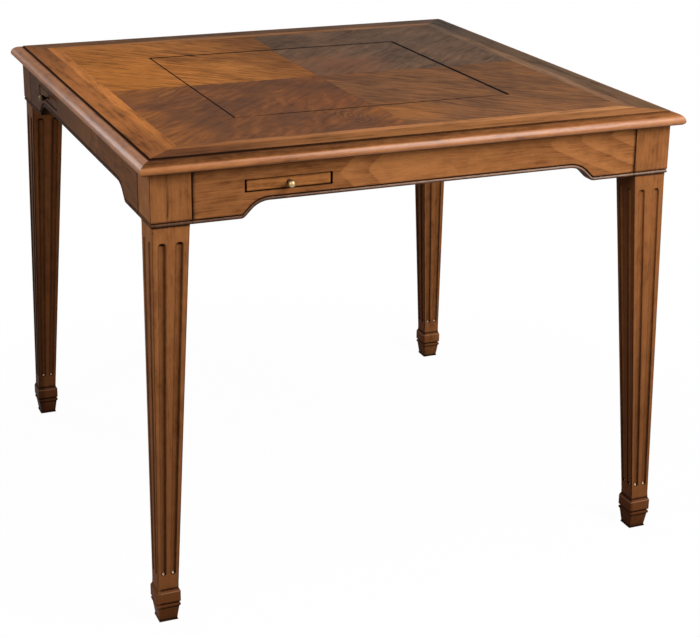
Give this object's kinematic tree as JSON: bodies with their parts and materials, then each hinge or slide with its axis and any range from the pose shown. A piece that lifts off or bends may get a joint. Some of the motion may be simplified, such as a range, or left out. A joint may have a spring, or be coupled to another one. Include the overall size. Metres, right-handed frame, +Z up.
{
  "type": "games table",
  "caption": "Square wooden games table with fluted tapered legs, a quarter-veneered top with a lift-out centre panel over a game well, and a pull-out drink slide in each side.",
  "frame": {"origin": "on the floor under the middle of the table", "axes": "+Z up; -Y is the front; +X to the right of someone who faces the front"},
  "size_m": [0.91, 0.91, 0.75],
  "materials": {
    "leg_wood": "satin lacquer over a warm walnut stain",
    "apron_wood": "satin lacquer over a warm walnut stain",
    "moulding_wood": "satin lacquer, dark glaze in the step",
    "border_veneer": "satin lacquer on crossbanded veneer",
    "inlay_veneer": "satin lacquer on a golden band",
    "field_veneer": "satin lacquer on quartered veneer",
    "panel_veneer": "satin lacquer on quartered veneer",
    "panel_edge_wood": "dark stained edge",
    "tray_wood": "satin lacquer",
    "core_wood": "plain sanded secondary wood",
    "well_wood": "satin stain",
    "light_veneer": "satin lacquer on light veneer",
    "dark_veneer": "satin lacquer on dark veneer",
    "knob_brass": "antique, lightly worn",
    "zinc_steel": "zinc plated",
    "glide_plastic": "dark nylon"
  },
  "bodies": {
    "table": {"leg_front_left": "leg_wood", "field_quarter_front_left": "field_veneer", "leg_front_right": "leg_wood", "field_quarter_front_right": "field_veneer", "leg_back_right": "leg_wood", "field_quarter_back_right": "field_veneer", "leg_back_left": "leg_wood", "field_quarter_back_left": "field_veneer", "apron_front": "apron_wood", "top_rail_front": "core_wood", "edge_moulding_front": "moulding_wood", "well_wall_front": "well_wood", "apron_right": "apron_wood", "top_rail_right": "core_wood", "edge_moulding_right": "moulding_wood", "well_wall_right": "well_wood", "apron_back": "apron_wood", "top_rail_back": "core_wood", "edge_moulding_back": "moulding_wood", "well_wall_back": "well_wood", "apron_left": "apron_wood", "top_rail_left": "core_wood", "edge_moulding_left": "moulding_wood", "well_wall_left": "well_wood", "floor_glides": "glide_plastic", "corner_blocks": "core_wood", "hanger_bolts": "zinc_steel", "hanger_washers": "zinc_steel", "wing_nuts": "zinc_steel", "block_screws": "zinc_steel", "top_screws": "zinc_steel", "top_border": "border_veneer", "inlay_band": "inlay_veneer", "slide_runners": "core_wood", "runner_screws": "zinc_steel", "well_floor": "well_wood", "floor_screws": "zinc_steel", "backgammon_bar": "dark_veneer", "backgammon_points_light": "light_veneer", "backgammon_points_dark": "dark_veneer"},
    "centre_panel": {"panel_core": "panel_edge_wood", "panel_quarters": "panel_veneer", "chess_squares_light": "light_veneer", "chess_squares_dark": "dark_veneer", "chess_border": "border_veneer"},
    "slide_front": {"slide_tray_front": "tray_wood", "slide_knob_front": "knob_brass", "slide_stop_peg_front": "core_wood"},
    "slide_right": {"slide_tray_right": "tray_wood", "slide_knob_right": "knob_brass", "slide_stop_peg_right": "core_wood"},
    "slide_back": {"slide_tray_back": "tray_wood", "slide_knob_back": "knob_brass", "slide_stop_peg_back": "core_wood"},
    "slide_left": {"slide_tray_left": "tray_wood", "slide_knob_left": "knob_brass", "slide_stop_peg_left": "core_wood"}
  },
  "joints": [
    {"name": "panel_lift", "type": "slide", "parent": "table", "child": "centre_panel", "axis": [0, 0, 1], "range_m": [0, 0.1]},
    {"name": "slide_front_pull", "type": "slide", "parent": "table", "child": "slide_front", "axis": [0, -1, 0], "range_m": [0, 0.12]},
    {"name": "slide_right_pull", "type": "slide", "parent": "table", "child": "slide_right", "axis": [1, 0, 0], "range_m": [0, 0.12]},
    {"name": "slide_back_pull", "type": "slide", "parent": "table", "child": "slide_back", "axis": [0, 1, 0], "range_m": [0, 0.12]},
    {"name": "slide_left_pull", "type": "slide", "parent": "table", "child": "slide_left", "axis": [-1, 0, 0], "range_m": [0, 0.12]}
  ]
}
